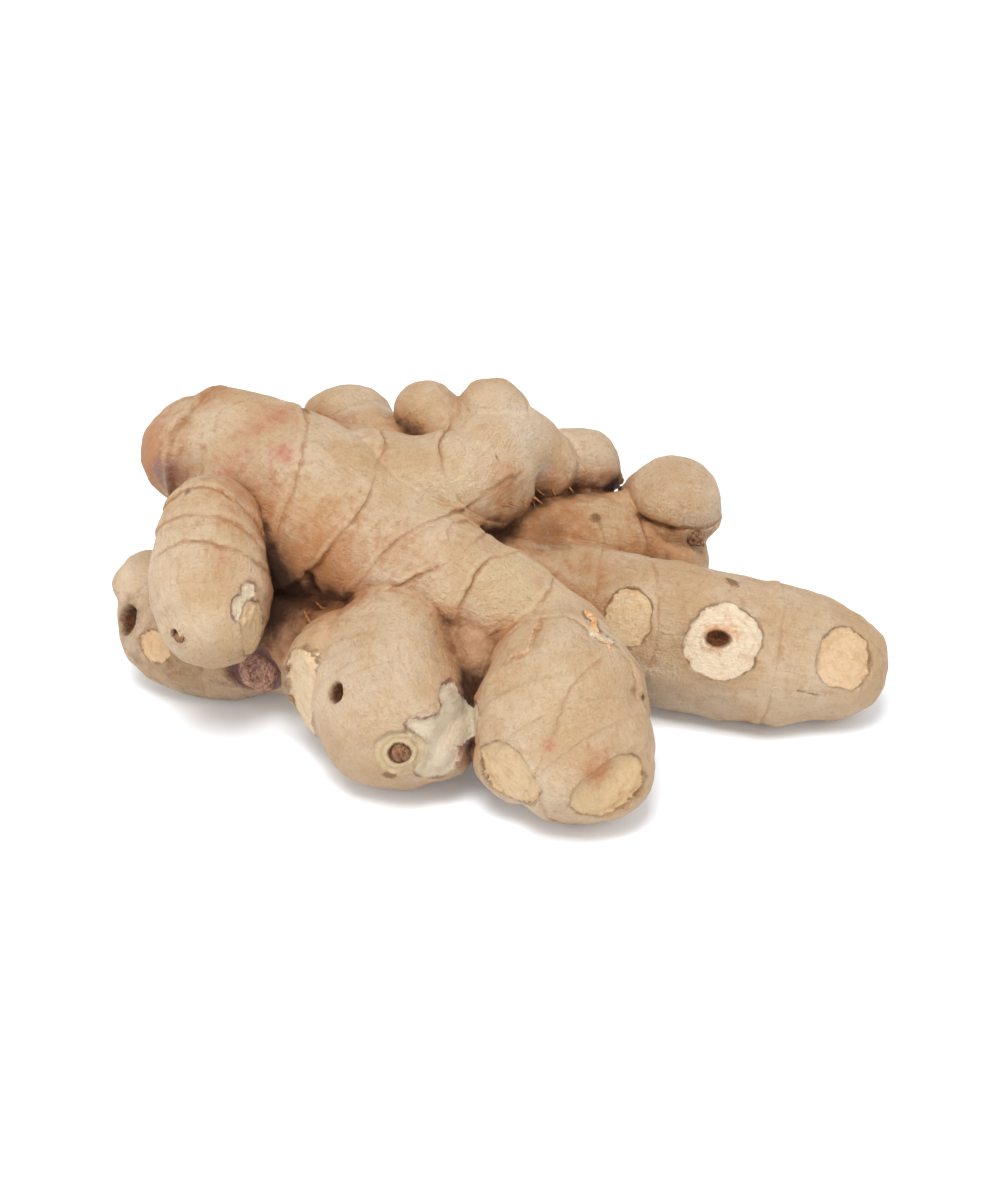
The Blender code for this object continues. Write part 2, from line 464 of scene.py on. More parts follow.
RINGS: tuple[Ring, ...] = (
    Ring(("main_axis",), ((-74, 34, 65), (-80, 25, 54), (-81, 24, 45)), 1.4, 0.15, 0.3),
    Ring(("main_axis",), ((-47, 32, 64), (-47, 8, 61), (-51, -1, 51)), 0.5, 0.3, 0.45),
    Ring(("main_axis", "crown"), ((-28, 21, 61), (-31, 1, 57), (-40, -6, 46)), 0.6, 0.45, 0.65),
    Ring(("main_axis", "crown"), ((-13, 0, 52), (-24, -9, 49), (-35, -9, 35)), 0.6, 0.4, 0.7),
    Ring(("crown", "main_axis"), ((-13, 22, 62), (-12, 9, 57), (-9, 1, 51)), 0.4, 0.35, 0.6, 26.0),
    Ring(("main_axis", "crotch"), ((-5, -6, 49), (-17, -14, 45), (-30, -15, 38)), 0.5, 0.35, 0.6),
    Ring(("main_axis", "crotch"), ((3, -7, 45), (-6, -18, 43), (-10, -23, 33)), 0.5, 0.4, 0.6, 30.0),
    Ring(("main_axis", "cut_lobe"), ((12, -9, 41), (8, -24, 40), (-1, -25, 34)), 0.5, 0.35, 0.6, 24.0),
    Ring(("main_axis", "cut_lobe"), ((24, -34, 41), (10, -29, 41), (-5, -30, 30)), 1.1, 0.5, 0.5, 34.0),
    Ring(("cut_lobe", "cut_lobe_left"), ((24, -44, 39), (13, -57, 31), (10, -61, 18)), 0.4, 0.35, 0.5),
    Ring(("draped_finger",), ((-78, 2, 58), (-69, -1, 60), (-57, -3, 53)), 0.8, 0.4, 0.8),
    Ring(("draped_finger",), ((-79, -5, 54), (-68.5, -8, 57), (-57, -8, 51)), 0.7, 0.4, 0.5),
    Ring(("draped_finger",), ((-80, -11, 49), (-68, -14, 53), (-56, -12, 47)), 0.6, 0.35, 0.45),
    Ring(("draped_finger",), ((-80, -18, 42), (-68, -22, 47), (-56, -18, 42)), 0.2, 0.1, 0.12),
    Ring(("left_foot",), ((-70, 0, 29), (-70, -5, 20), (-70, -5, 8)), 0.35, 0.3, 0.4),
    Ring(("left_foot",), ((-61, -2, 26), (-61, -7, 15), (-60, -5, 7)), 0.3, 0.3, 0.4),
    Ring(("long_finger",), ((24, 4, 34), (23, -3, 30), (22, -5, 18)), 0.4, 0.3, 0.4),
    Ring(("long_finger",), ((38, 6, 36), (38, -4, 32), (36, -12, 20)), 0.4, 0.3, 0.35),
    Ring(("long_finger",), ((68, 0, 34), (66.5, -14, 29), (64, -20, 16)), 0.4, 0.3, 0.35),
    Ring(("side_finger",), ((20, 30, 41), (24, 24, 38), (27, 19, 29)), 0.35, 0.2, 0.3),
    Ring(("side_finger", "side_knob"), ((33, 33, 39), (36, 24, 34), (38, 22, 25)), 0.5, 0.4, 0.5),
    Ring(("side_knob",), ((35, 30, 36), (43, 26, 34), (52, 30, 33)), 0.35, 0.3, 0.3),
    Ring(("crown_knob",), ((-10, 32, 64), (-2, 29, 63), (5, 32, 63)), 0.3, 0.2, 0.2),
    Ring(("back_lobe",), ((-44, 41, 57), (-35, 38, 57), (-26, 42, 54)), 0.4, 0.3, 0.35),
    Ring(("back_knob",), ((16, 38, 51), (18, 38, 46), (17, 40, 38)), 0.3, 0.3, 0.4),
    Ring(("heart", "rear_foot"), ((-30, 30, 30), (-16, 33, 32), (-2, 32, 28)), 0.4, 0.3, 0.5),
)

MARKS: tuple[Mark, ...] = (
    Mark(MarkKind.CUT, (2, -57, 16.8), 9.2, 7.8, 0.4, 0.6, 0.1),
    Mark(MarkKind.CUT, (26, -61, 16), 9.4, 7.2, 1.0, 0.5, 0.0, 12),
    Mark(MarkKind.CUT, (-45, -29, 21), 7.4, 11.5, 0.3, 0.7, 0.25),
    Mark(MarkKind.CUT, (-55.5, -21, 34), 4.0, 7.5, 0.2, 0.4, 0.1),
    Mark(MarkKind.CUT, (31, -6, 28), 6.4, 7.6, 0.1, 0.4, 0.15),
    Mark(MarkKind.CUT, (53, -15, 26), 9.4, 9.2, 0.2, 0.7, 0.5),
    Mark(MarkKind.CUT, (82, -15, 22), 7.0, 7.5, 0.5, 0.6, 0.8),
    Mark(MarkKind.CUT, (-82, -3, 17.5), 4.4, 4.4, 0.1, 0.3, 0.9),
    Mark(MarkKind.EYE, (-21.5, -49.5, 18), 5.6, 5.6, 0.3, 0.5, 0.1),
    Mark(MarkKind.EYE, (-57, -7, 14), 7.0, 6.6, 0.3, 0.6, 1.0),
    Mark(MarkKind.PIT, (-36, -40, 28), 2.0, 2.5, 1.2, 0.25),
    Mark(MarkKind.PIT, (-89, 5.5, 20.5), 3.4, 3.6, 1.6, 0.8),
    Mark(MarkKind.PIT, (52, -14.5, 27), 3.0, 2.0, 0.9, 0.7),
    Mark(MarkKind.PIT, (-74, -24, 34), 1.1, 1.2, 0.2, 1.1),
    Mark(MarkKind.CORK, (-46, 30, 64), 1.8, 1.2, -0.1, 0.1),
    Mark(MarkKind.CORK, (22, -27, 41), 2.8, 2.4, -0.2, 0.1),
    Mark(MarkKind.CORK, (24, 24.5, 38), 1.6, 1.2, -0.1, 0.1),
    Mark(MarkKind.CORK, (-24, -49, 12), 1.8, 1.4, -0.1, 0.1),
    Mark(MarkKind.CORK, (-71, -2, 58), 1.3, 1.0, -0.1, 0.1),
    Mark(MarkKind.CORK, (56, -1, 34), 2.4, 1.3, -0.1, 0.1),
)

CRACKS: tuple[Crack, ...] = (
    Crack(((-44, -7, 40), (-43, -6, 36), (-41, -8, 32)), 1.0, 1.5),
    Crack(((-17, -12, 46), (-13, -12, 46), (-11, -14, 45)), 0.5, 0.4),
    Crack(((72, -17, 24), (73, -19, 18)), 0.45, 0.5),
    Crack(((71, -20, 16), (76, -19, 14)), 0.45, 0.5),
    Crack(((0, 18, 61), (1, 16, 55), (1, 15, 51)), 0.6, 0.7),
    Crack(((5, 22, 58), (5, 20, 53), (6, 20, 49)), 0.5, 0.5),
    Crack(((-34, 46, 60), (-31, 48, 59)), 0.45, 0.4),
)

STAINS: tuple[Stain, ...] = (
    Stain(Tint.BRUISE, (-80, 26, 49), 6.0),
    Stain(Tint.BRUISE, (-81, 24, 44), 4.0, 0.8),
    Stain(Tint.BRUISE, (-59, -10, 12), 7.5, 0.75),
    Stain(Tint.BRUISE, (-52, 12, 60), 4.0, 0.35),
    Stain(Tint.BLUSH, (-50, 12, 62), 5.0, 0.8),
    Stain(Tint.BLUSH, (-59, 22, 64), 8.5, 0.5),
    Stain(Tint.BLUSH, (-66, 12, 58), 7.0, 0.7),
    Stain(Tint.BLUSH, (-52, 26, 65), 6.0, 0.7),
    Stain(Tint.BLUSH, (-64, -16, 50), 4.0, 0.5),
    Stain(Tint.BLUSH, (13, 28, 48), 5.0, 0.6),
    Stain(Tint.BLUSH, (12, -59, 26), 2.5, 0.8),
    Stain(Tint.BLUSH, (10, -13, 43), 5.0, 0.5),
    Stain(Tint.RUST, (-41, -8, 42), 15.0, 1.0),
    Stain(Tint.RUST, (-58, 2, 53), 15.0, 0.75),
    Stain(Tint.RUST, (-86, 32, 52), 15.0, 1.0),
    Stain(Tint.RUST, (-70, 40, 66), 9.0, 0.8),
    Stain(Tint.RUST, (-22, -9, 48), 9.0, 0.6),
    Stain(Tint.RUST, (1, 15, 52), 7.0, 0.9),
    Stain(Tint.RUST, (-40, -20, 36), 10.0, 0.5),
    Stain(Tint.RUST, (24, 6, 33), 10.0, 0.6),
    Stain(Tint.RUST, (36, 22, 30), 9.0, 0.6),
    Stain(Tint.RUST, (22, -60, 21), 5.5, 0.95),
    Stain(Tint.RUST, (52, -14, 28), 4.2, 0.9),
    # The rust patch here and the umber patch below darken the skin by the crevice under the side finger:
    # painted shade as well as soil.
    Stain(Tint.RUST, (16, 22, 37), 10.0, 0.9),
    Stain(Tint.UMBER, (12, 16, 38), 8.0, 0.9),
    Stain(Tint.UMBER, (-40, -6, 31), 10.0, 1.0),
    Stain(Tint.UMBER, (-50, -4, 22), 10.0, 1.0),
    Stain(Tint.UMBER, (-78, 2, 16), 20.0, 0.55),
    Stain(Tint.UMBER, (-88, 6, 20), 6.0, 0.9),
    Stain(Tint.CHALK, (-30, -38, 28), 15.0, 0.7),
    Stain(Tint.CHALK, (6, 28, 60), 11.0, 0.7),
    Stain(Tint.CHALK, (11, 26, 50), 4.0, 1.0),
    Stain(Tint.CHALK, (44, 33, 42), 10.0, 0.4),
    Stain(Tint.CHALK, (-88, 15, 28), 4.0, 0.9),
    Stain(Tint.STRAW, (6, -16, 42), 15.0, 0.8),
    Stain(Tint.STRAW, (-10, 6, 55), 12.0, 0.6),
    Stain(Tint.STRAW, (14, -50, 34), 14.0, 0.5),
    Stain(Tint.STRAW, (-66, -24, 38), 10.0, 0.5),
)

PEELS: tuple[Peel, ...] = (
    Peel(((-10, -41, 28, 3.5), (-9, -42, 22, 6.0), (-14, -47, 21, 5.0), (-13, -48, 15, 5.5),
          (-19, -47, 24, 2.2))),
    Peel(((-58, -22, 40, 3.0), (-57, -20, 43, 2.0))),
    Peel(((24, -35, 39, 3.0), (23, -31, 41, 2.0))),
)


# ---------------------------------------------------------------------------------------------- finishes


class Wire:
    """One socket of a finish, on which Python's operators add Math nodes."""

    def __init__(self, bench: "Bench", socket: bpy.types.NodeSocket) -> None:
        """Keeps the socket and the bench that it belongs to."""
        self.bench = bench
        self.socket = socket

    def __add__(self, other: "Wire | float") -> "Wire":
        """The sum."""
        return self.bench.math("ADD", self, other)

    def __sub__(self, other: "Wire | float") -> "Wire":
        """The difference."""
        return self.bench.math("SUBTRACT", self, other)

    def __mul__(self, other: "Wire | float") -> "Wire":
        """The product."""
        return self.bench.math("MULTIPLY", self, other)

    def __abs__(self) -> "Wire":
        """The size without its sign."""
        return self.bench.math("ABSOLUTE", self)


Value = Wire | float


class Bench:
    """A material under construction: adds nodes, and joins them to the shader at the end."""

    def __init__(self, name: str) -> None:
        """Starts an empty material of that name."""
        self.material = bpy.data.materials.new(name)
        self.material.use_nodes = True
        self.tree = self.material.node_tree
        self.tree.nodes.clear()
        self.mm = self.vector("SCALE", self.node("ShaderNodeTexCoord")["Object"], Scale=1 / MM)

    def node(self, kind: str, settings: dict[str, Any] | None = None, **values: Any) -> dict[str, Wire]:
        """Adds one node.

        Args:
            kind: The node's type.
            settings: Its properties, which are set before its sockets.
            values: Its sockets' values or links by name, with _ for a space, or by n and a number.

        Returns:
            Its outputs by name.
        """
        made = self.tree.nodes.new(kind)
        for key, value in (settings or {}).items():
            setattr(made, key, value)
        for key, value in values.items():
            name = key.replace("_", " ")
            socket = made.inputs[int(key[1:])] if key[1:].isdigit() else made.inputs[name]
            if isinstance(value, Wire):
                self.tree.links.new(value.socket, socket)
            else:
                socket.default_value = value
        return {output.name: Wire(self, output) for output in made.outputs if output.enabled}

    def math(self, operation: str, *values: Value) -> Wire:
        """One Math node on values."""
        return self.node("ShaderNodeMath", {"operation": operation},
                         **{f"n{i}": value for i, value in enumerate(values)})["Value"]

    def vector(self, operation: str, first: Wire, *others: Any, **named: Any) -> Wire:
        """One Vector Math node."""
        values = {f"n{i}": value for i, value in enumerate((first, *others))}
        return self.node("ShaderNodeVectorMath", {"operation": operation}, **values, **named)["Vector"]

    def mix(self, factor: Value, first: Any, second: Any) -> Wire:
        """Mixes two colours."""
        settings = {"data_type": "RGBA", "clamp_factor": True}
        return self.node("ShaderNodeMix", settings, n0=factor, n6=first, n7=second)["Result"]

    def ease(self, value: Wire, low: float, high: float, start: float = 0.0, end: float = 1.0) -> Wire:
        """Eases a value from start at low to end at high."""
        settings = {"interpolation_type": "SMOOTHSTEP"}
        made = self.node("ShaderNodeMapRange", settings, n0=value, n1=low, n2=high, n3=start, n4=end)
        return made["Result"]

    def noise(self, vector: Wire, scale: float, detail: float = 3.0, rough: float = 0.55,
              twist: float = 0.0) -> Wire:
        """Smooth noise between 0 and 1."""
        return self.node("ShaderNodeTexNoise", Vector=vector, Scale=scale, Detail=detail, Roughness=rough,
                         Distortion=twist)["Fac"]

    def cells(self, vector: Wire, scale: float) -> Wire:
        """Distance from the nearest of many scattered points."""
        return self.node("ShaderNodeTexVoronoi", Vector=vector, Scale=scale)["Distance"]

    def read(self, name: str) -> Wire:
        """A number stored on the piece's points."""
        return self.node("ShaderNodeAttribute", {"attribute_name": name})["Fac"]

    def read_vector(self, name: str) -> Wire:
        """A vector stored on the piece's points."""
        return self.node("ShaderNodeAttribute", {"attribute_name": name})["Vector"]

    def bump(self, height: Wire, depth: float) -> Wire:
        """Raises the surface by a height between 0 and 1, times a depth in metres."""
        return self.node("ShaderNodeBump", Height=height, Distance=depth, Strength=1.0)["Normal"]

    def finish(self, colour: Wire, rough: Value, normal: Wire, **constants: Any) -> bpy.types.Material:
        """Joins everything to a Principled shader.

        Args:
            colour: The base colour.
            rough: The roughness.
            normal: The surface's bumped normal.
            constants: Other sockets of the shader, set on the shader itself.

        Returns:
            The finished material.
        """
        shader = self.node("ShaderNodeBsdfPrincipled", Base_Color=colour, Roughness=rough, Normal=normal,
                           **constants)
        self.node("ShaderNodeOutputMaterial", Surface=shader["BSDF"])
        return self.material


@dataclass(frozen=True)
class SkinFinish:
    """The skin: thin tan parchment with fibres, rings, stains, cut faces and eyes, by the skin's own fields,
    with soil and painted shade darkening its hollows and the closed-in places between fingers.
    """

    name: str = "ginger_skin_finish"
    pale: Colour = srgb(236, 208, 174)
    tan: Colour = srgb(222, 184, 140)
    deep: Colour = srgb(196, 140, 88)
    # Dark brown used both for soil and for painted shade in the hollows and between fingers; cracks and pits
    # take it too.
    soil_and_shade: Colour = srgb(80, 42, 14)
    line: Colour = srgb(170, 106, 54)
    blush: Colour = srgb(218, 128, 104)
    bruise: Colour = srgb(150, 108, 108)
    rust: Colour = srgb(200, 128, 72)
    umber: Colour = srgb(128, 80, 42)
    chalk: Colour = srgb(240, 222, 198)
    straw: Colour = srgb(238, 212, 168)
    flesh: Colour = srgb(248, 230, 198)
    cut: Colour = srgb(220, 188, 142)
    white: Colour = srgb(236, 218, 190)
    core: Colour = srgb(190, 136, 78)
    eye: Colour = srgb(82, 44, 28)
    cork: Colour = srgb(150, 106, 66)

    def skin_colour(self, b: Bench, mottle: Wire, grit: Wire, fibre: Wire, rounds: Wire) -> Wire:
        """The parchment itself: broad tone, stains, fibres and flecks."""
        broad = b.noise(b.mm, 0.06, 3)
        colour = b.mix(b.ease(broad, 0.35, 0.68), self.tan, self.pale)
        colour = b.mix(b.ease(mottle, 0.50, 0.78) * 0.5, colour, self.deep)
        powers = {Tint.STRAW: 0.75, Tint.CHALK: 0.75, Tint.RUST: 0.8, Tint.BLUSH: 0.7, Tint.UMBER: 0.75,
                  Tint.BRUISE: 0.8}
        for tint, power in powers.items():
            broken = b.ease(b.read(tint.value) + (mottle - 0.5) * 0.9 + (grit - 0.5) * 0.5, 0.15, 0.95)
            colour = b.mix(broken * power, colour, getattr(self, tint.value))
        keep = b.read("grain_keep")
        colour = b.mix(b.ease(fibre, 0.50, 0.34) * keep * 0.26, colour, self.deep)
        colour = b.mix(b.ease(fibre, 0.54, 0.70) * keep * 0.26, colour, self.chalk)
        colour = b.mix(b.ease(rounds, 0.46, 0.30) * keep * 0.20, colour, self.deep)
        colour = b.mix(b.ease(grit, 0.47, 0.32) * 0.36, colour, self.deep)
        colour = b.mix(b.ease(grit, 0.55, 0.70) * 0.40, colour, self.chalk)
        dots = b.cells(b.vector("MULTIPLY", b.read_vector("grain"), (1.0, 0.45, 0.45)), 0.8)
        fleck = b.ease(dots, 0.16, 0.06) * b.ease(mottle, 0.45, 0.60)
        return b.mix(fleck * 0.5, colour, self.line)

    def face_colour(self, b: Bench, cut: Wire, mottle: Wire, grit: Wire) -> Wire:
        """A cut face: fibre ends in wavering hoops, paler or browner by its tone."""
        tone = b.read("cut_tone")
        base = b.mix(b.ease(tone, 0.0, 0.5), self.cut, self.white)
        base = b.mix(b.ease(tone, 0.55, 0.9), base, self.tan)
        face = b.mix(b.ease(mottle, 0.48, 0.72) * 0.40, base, self.core)
        face = b.mix(b.ease(b.cells(b.mm, 1.5), 0.30, 0.12) * 0.25, face, self.core)
        hoops = b.ease(b.math("SINE", cut * 3.6 + mottle * 7.0), 0.1, 1.0)
        face = b.mix(hoops * 0.16, face, self.core)
        face = b.mix(b.ease(b.read("rust") + (mottle - 0.5) * 1.2, 0.20, 0.80) * 0.75, face, self.rust)
        return b.mix(b.ease(grit, 0.45, 0.25) * 0.4, face, self.flesh)

    def build(self) -> bpy.types.Material:
        """Builds the material."""
        b = Bench(self.name)
        grain = b.read_vector("grain")
        mottle = b.noise(b.mm, 0.35, 4, 0.6)
        grit = b.noise(b.mm, 1.3, 5, 0.75)
        fibre = b.noise(b.vector("MULTIPLY", grain, (0.28, 1.0, 1.0)), 0.95, 5, 0.74)
        rounds = b.noise(b.vector("MULTIPLY", grain, (1.0, 0.10, 0.10)), 0.8, 4, 0.7)
        keep = b.read("grain_keep")
        colour = self.skin_colour(b, mottle, grit, fibre, rounds)
        # Rings: a shaded band, a straw margin just short of the step and a thin broken line under it
        ring = b.read("ring_gap") + (grit - 0.5) * 0.5 + (mottle - 0.5) * 0.6
        ink = b.read("ring_ink")
        band = b.ease(abs(ring + 0.8), 2.6, 0.2) * ink
        thread = b.ease(abs(ring - 0.35), 0.30, 0.06) * ink * b.ease(grit, 0.25, 0.50)
        colour = b.mix(band * b.ease(mottle, 0.30, 0.65) * 0.35, colour, self.rust)
        margin = b.ease(abs(ring + 0.7), 0.8, 0.15) * ink
        colour = b.mix(margin * 0.6, colour, self.straw)
        colour = b.mix(thread, colour, self.line)
        # Soil and painted shade: the hollows, the fine creases and the closed-in places deep between fingers
        # are darkened, partly as soil and partly as painted shade
        hollow = b.read("hollow")
        fine = b.read("hollow_fine")
        shelter = b.read("shelter")
        colour = b.mix(b.ease(hollow + (mottle - 0.5) * 0.5, 0.15, 1.3) * 0.65, colour, self.rust)
        colour = b.mix(b.ease(hollow + (mottle - 0.5) * 0.8, 0.7, 2.2) * 0.85, colour, self.soil_and_shade)
        colour = b.mix(b.ease(fine, 0.03, 0.16) * 0.28, colour, self.line)
        colour = b.mix(b.ease(shelter + (mottle - 0.5) * 0.2, 0.18, 0.42) * 0.6, colour, self.rust)
        colour = b.mix(b.ease(shelter + (mottle - 0.5) * 0.25, 0.36, 0.60) * 0.94, colour, self.soil_and_shade)
        # Bare flesh, with the torn skin's dark edge
        peel = b.read("peel_edge") + (grit - 0.5) * 1.0 + (mottle - 0.5) * 1.6
        bare = b.mix(b.ease(mottle, 0.40, 0.70), self.flesh, self.pale)
        colour = b.mix(b.ease(peel, 0.20, -0.20), colour, bare)
        torn = b.ease(abs(peel - 0.35), 0.55, 0.15) * b.ease(mottle, 0.40, 0.58)
        colour = b.mix(torn * 0.75, colour, self.bruise)
        # Cut faces
        cut = b.read("cut_edge") + (grit - 0.5) * 1.2 + (mottle - 0.5) * 2.0
        colour = b.mix(b.ease(cut, 0.45, -0.75) * 0.9, colour, self.face_colour(b, cut, mottle, grit))
        outline = b.ease(abs(cut - 0.1), 0.65, 0.10) * b.ease(mottle, 0.42, 0.62)
        colour = b.mix(outline * 0.45, colour, self.line)
        # Corky scabs
        cork = b.read("cork_edge") + (grit - 0.5) * 2.2
        colour = b.mix(b.ease(cork, 0.4, -0.6) * 0.8, colour, b.mix(grit, self.cork, self.umber))
        # Eyes
        eye = b.read("eye_edge") + (grit - 0.5) * 0.7
        dark_eye = b.ease(b.read("eye_tone"), 0.3, 0.7)
        hoops = b.ease(b.math("SINE", eye * 4.0 + mottle * 3.0), -0.2, 0.9)
        base, shade = b.mix(dark_eye, self.straw, self.bruise), b.mix(dark_eye, self.core, self.eye)
        scale = b.mix(hoops * 0.35, base, shade)
        colour = b.mix(b.ease(eye, 0.4, -0.5) * 0.9, colour, scale)
        colour = b.mix(b.ease(eye, -2.6, -3.3), colour, b.mix(b.ease(grit, 0.4, 0.6), self.eye, self.umber))
        # Pits
        pit = b.read("pit_edge") + (grit - 0.5) * 0.8
        colour = b.mix(b.ease(pit, 0.5, -0.5), colour, b.mix(b.ease(grit, 0.4, 0.65), self.soil_and_shade, self.umber))
        # Cracks
        crack = b.read("crack") + (grit - 0.5) * 0.8
        colour = b.mix(b.ease(crack, 0.8, 0.2) * 0.9, colour, self.soil_and_shade)
        # Relief
        smooth_face = b.ease(cut, -0.3, 0.2)
        height = fibre * 0.9 * keep + rounds * 0.45 * keep + grit * 1.0 + mottle * 0.5 - thread * 0.3
        normal = b.bump(height * (smooth_face * 0.5 + 0.5), 1.7 * MM)
        rough = b.ease(grit, 0.2, 0.8, 0.52, 0.70)
        return b.finish(colour, rough, normal, Specular_IOR_Level=0.40)


@dataclass(frozen=True)
class FloorFinish:
    """The pale floor, with a grain too fine to see as a pattern."""

    name: str = "floor_finish"
    white: Colour = (0.90, 0.93, 0.97, 1.0)
    shade: Colour = (0.88, 0.91, 0.95, 1.0)
    glow: float = 0.10

    def build(self) -> bpy.types.Material:
        """Builds the material."""
        b = Bench(self.name)
        grain = b.noise(b.mm, 0.4, 2)
        return b.finish(b.mix(grain, self.white, self.shade), 0.9, b.bump(grain, 0.01 * MM),
                        Specular_IOR_Level=0.2, Emission_Color=(1, 1, 1, 1), Emission_Strength=self.glow)


# ---------------------------------------------------------------------------------------------- the skin


def applied(obj: bpy.types.Object) -> bpy.types.Mesh:
    """The object's mesh with its modifiers applied."""
    bpy.context.view_layer.update()
    graph = bpy.context.evaluated_depsgraph_get()
    return bpy.data.meshes.new_from_object(obj.evaluated_get(graph))


@dataclass
class RhizomeSkin:
    """The whole skin of the rhizome as one closed mesh. Lengths are in millimetres.

    Attributes:
        voxel: Size of the grid that fuses the fingers.
        soften_passes: How often the creases between fingers are smoothed.
        limit: Triangles at most.
        blend: How far a finger's rings run on over its neighbours.
        shelter_rays: Rays that look out from a point for shelter.
        shelter_stride: One point in this many looks out.
        shelter_reach: How far it looks.
        grain_shift: Moves the grain from one finger to the next.
        far_edge: Stands for a distance from any mark's edge that is too far to matter.
        far_ring: The same for rings.
        held_near: A mark moves all skin that is this near its own plane.
        held_far: It moves none beyond this.
        rim_at: How far outside a mark's edge its rim is highest.
        rim_width: Half that rim's width.
        edge_blur: How far a mark's edge is eased to each side.
        overlap: How far outside its edge a later mark takes skin over from an earlier one.
        finish: The skin's material.
    """

    voxel: float = 0.58
    soften_passes: int = 9
    limit: int = 194000
    blend: float = 2.6
    shelter_rays: int = 40
    shelter_stride: int = 12
    shelter_reach: float = 22.0
    grain_shift: float = 37.0
    far_edge: float = 6.0
    far_ring: float = 8.0
    held_near: float = 5.0
    held_far: float = 6.5
    rim_at: float = 0.55
    rim_width: float = 0.6
    edge_blur: float = 0.45
    overlap: float = 0.8
    finish: SkinFinish = SkinFinish()

    def grown_mesh(self) -> bpy.types.Mesh:
        """Fuses the fingers' tubes into one even skin and softens the creases between them."""
        bm = bmesh.new()
        for finger in FINGERS:
            finger.add_tube(bm)
        bmesh.ops.recalc_face_normals(bm, faces=bm.faces)
        grown = linked("grown", mesh_of("tubes", bm))
        fuse = grown.modifiers.new("fuse", "REMESH")
        fuse.mode = "VOXEL"
        fuse.voxel_size = self.voxel * MM
        soften = grown.modifiers.new("soften", "SMOOTH")
        soften.factor = 0.5
        soften.iterations = self.soften_passes
        mesh = applied(grown)
        bpy.data.objects.remove(grown)
        return mesh

    def read_surface(self, mesh: bpy.types.Mesh) -> Surface:
        """Reads a mesh's points, normals and edges, in millimetres."""
        edges = np.empty(len(mesh.edges) * 2, int)
        mesh.edges.foreach_get("vertices", edges)
        return Surface(coordinates(mesh) / MM, mesh_normals(mesh), edges.reshape(-1, 2))

    def write_points(self, mesh: bpy.types.Mesh, surface: Surface) -> None:
        """Moves the mesh's points to where the surface has them, and renews the normals."""
        mesh.vertices.foreach_set("co", (surface.points * MM).ravel())
        mesh.update()
        surface.normals = mesh_normals(mesh)

    def share_out(self, surface: Surface) -> None:
        """Works out how much of each point belongs to each finger, and the grain that its finger gives it."""
        readings = [finger.measure(surface.points) for finger in FINGERS]
        table = np.array([reading.depth for reading in readings])
        least = table.min(0)
        for finger, depth in zip(FINGERS, table):
            surface.share[finger.name] = smooth_step(depth - least, self.blend, 0.0)
        winner = table.argmin(0)
        grain = np.zeros((len(surface.points), 3))
        for number, reading in enumerate(readings):
            chosen = winner == number
            grain[chosen] = reading.across[chosen] + number * self.grain_shift
        ordered = np.sort(table, axis=0)
        surface.share["grain_keep"] = smooth_step(ordered[1] - ordered[0], 0.0, 1.6)
        surface.grain = grain
        surface.share["waver"] = lumps(surface.points, 9.0, 1.0)
        surface.share["shiver"] = lumps(surface.points, 2.6, 2.0)

    def swell(self, surface: Surface) -> np.ndarray:
        """The uneven growth of the flesh under the skin."""
        broad = lumps(surface.points, 19.0, 3.0)
        ridged = 0.35 - np.abs(lumps(surface.points, 13.0, 9.0))
        return (1.1 * broad + 1.2 * ridged + 0.40 * surface.share["waver"]
                + 0.18 * lumps(surface.points, 4.5, 4.0) + 0.07 * surface.share["shiver"])

    def ring_relief(self, surface: Surface) -> np.ndarray:
        """Raises the rings, and keeps the distance from the nearest one and how dark its line is."""
        count = len(surface.points)
        rise = np.zeros(count)
        gap = np.full(count, self.far_ring)
        ink = np.zeros(count)
        uneven = np.clip(0.7 + 1.0 * lumps(surface.points, 9.0, 5.0), 0.08, 1.25)
        for ring in RINGS:
            offset, weight = ring.offset(surface), ring.weight(surface)
            rise += ring.profile(offset) * weight * uneven
            closer = (np.abs(offset) < np.abs(gap)) & (weight > 0.02)
            gap[closer] = offset[closer]
            ink[closer] = (weight * ring.ink * uneven)[closer]
        surface.share["ring_gap"] = gap
        surface.share["ring_ink"] = ink
        return rise

    def wrinkle(self, surface: Surface) -> np.ndarray:
        """Fine folds that run round each finger, and faint ridges that run along it."""
        rounds = lumps(surface.grain * (1.0, 0.16, 0.16), 1.7, 6.0)
        fibres = lumps(surface.grain * (0.13, 1.0, 1.0), 2.1, 7.0)
        patchy = 0.6 + 0.6 * lumps(surface.points, 14.0, 8.0)
        near_ring = bell(surface.share["ring_gap"] + 1.5, 3.5) * surface.share["ring_ink"]
        return (rounds * (0.13 * patchy + 0.30 * near_ring) + 0.15 * fibres) * surface.share["grain_keep"]

    def press_marks(self, surface: Surface) -> None:
        """Presses every mark into the skin, and keeps each kind's tone and distance from its edge."""
        for kind in MarkKind:
            edges = np.full(len(surface.points), self.far_edge)
            tones = np.zeros(len(surface.points))
            for mark in (m for m in MARKS if m.kind is kind):
                self.press(mark, surface, edges, tones)
            surface.share[f"{kind.value}_edge"] = edges
            surface.share[f"{kind.value}_tone"] = tones

